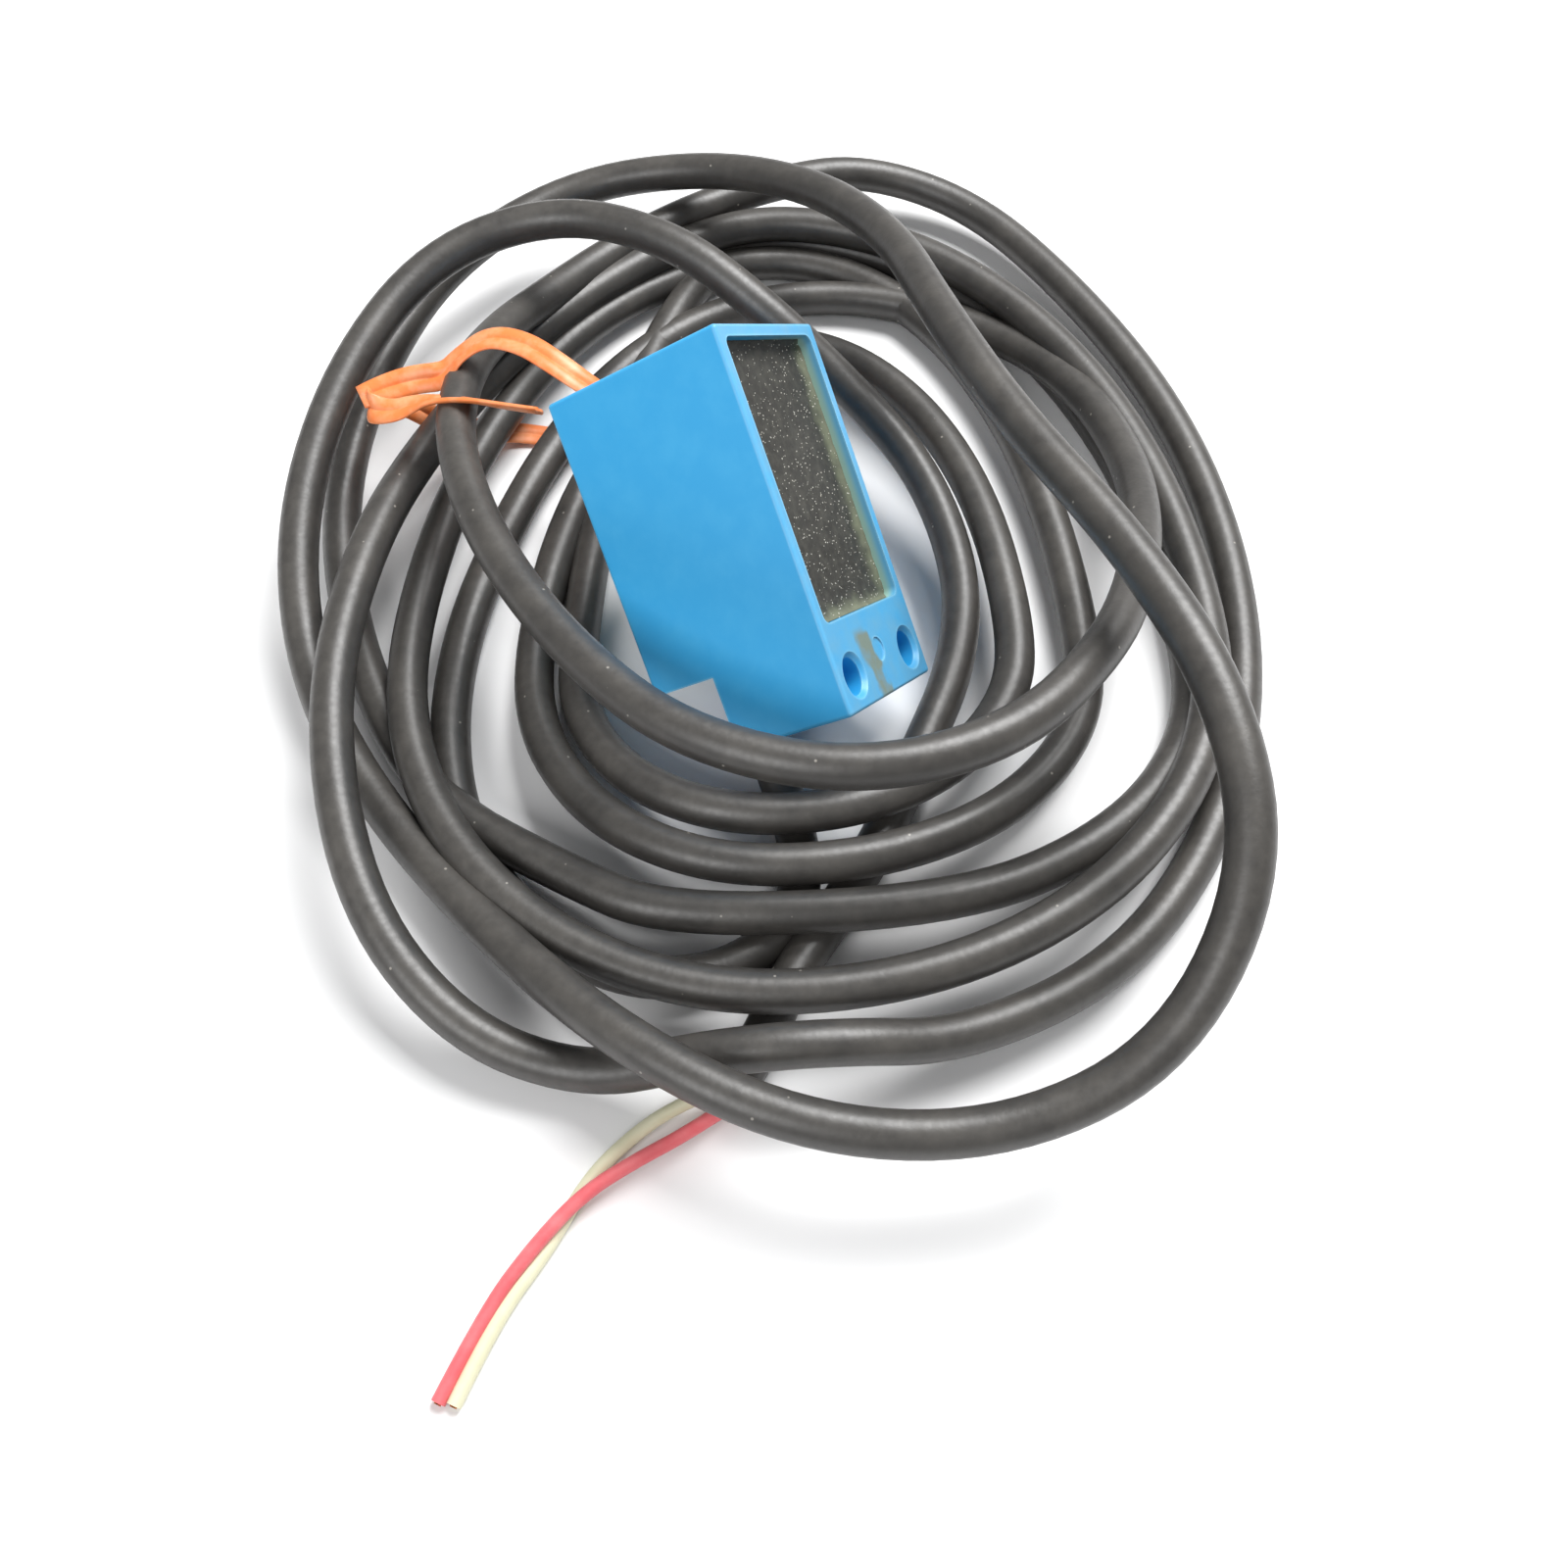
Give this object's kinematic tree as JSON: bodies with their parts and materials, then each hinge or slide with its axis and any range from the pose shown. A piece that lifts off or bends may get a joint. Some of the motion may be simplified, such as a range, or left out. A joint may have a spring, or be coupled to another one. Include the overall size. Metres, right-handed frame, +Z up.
{
  "type": "inductive proximity sensor",
  "caption": "Square blue inductive proximity sensor with a resin-filled side, two screw holes and a coiled black lead with bare conductors.",
  "frame": {"origin": "under the middle of the sensor block, on the surface that the coil and the block lie on", "axes": "+Z up from that surface, +Y away from the side where the lead ends, along the longest side of the tilted block's box, +X to the right"},
  "size_m": [0.0965, 0.1392, 0.0362],
  "materials": {
    "blue_housing": "satin moulded",
    "black_resin": "cast, dusty",
    "blue_boot": "satin moulded",
    "ferrite": "sintered, matt",
    "bobbin_plastic": "moulded",
    "copper_winding": "enamelled",
    "board_laminate": "solder mask",
    "chip_black": "moulded",
    "chip_ceramic": "fired",
    "black_jacket": "matt extruded",
    "red_insulation": "extruded",
    "cream_insulation": "extruded",
    "copper_strands": "bare",
    "orange_tie": "ribbed ribbon",
    "steel_wire": "drawn"
  },
  "bodies": {
    "root": {"housing": "blue_housing", "potting_compound": "black_resin", "cable_boot": "blue_boot", "ferrite_core": "ferrite", "coil_bobbin": "bobbin_plastic", "coil_winding": "copper_winding", "circuit_board": "board_laminate", "oscillator_chip": "chip_black", "output_transistor": "chip_black", "smoothing_capacitor": "chip_ceramic", "chip_capacitors": "chip_ceramic", "chip_resistors": "chip_black", "board_leads": "red_insulation", "cable_exit": "black_jacket", "cable_coil": "black_jacket", "cable_front_loop": "black_jacket", "cable_outer_loop": "black_jacket", "cable_top_loop": "black_jacket", "cable_end": "black_jacket", "red_insulation": "red_insulation", "red_strands": "copper_strands", "cream_insulation": "cream_insulation", "cream_strands": "copper_strands", "tie_ribbon": "orange_tie", "tie_wire": "steel_wire"}
  },
  "joints": []
}
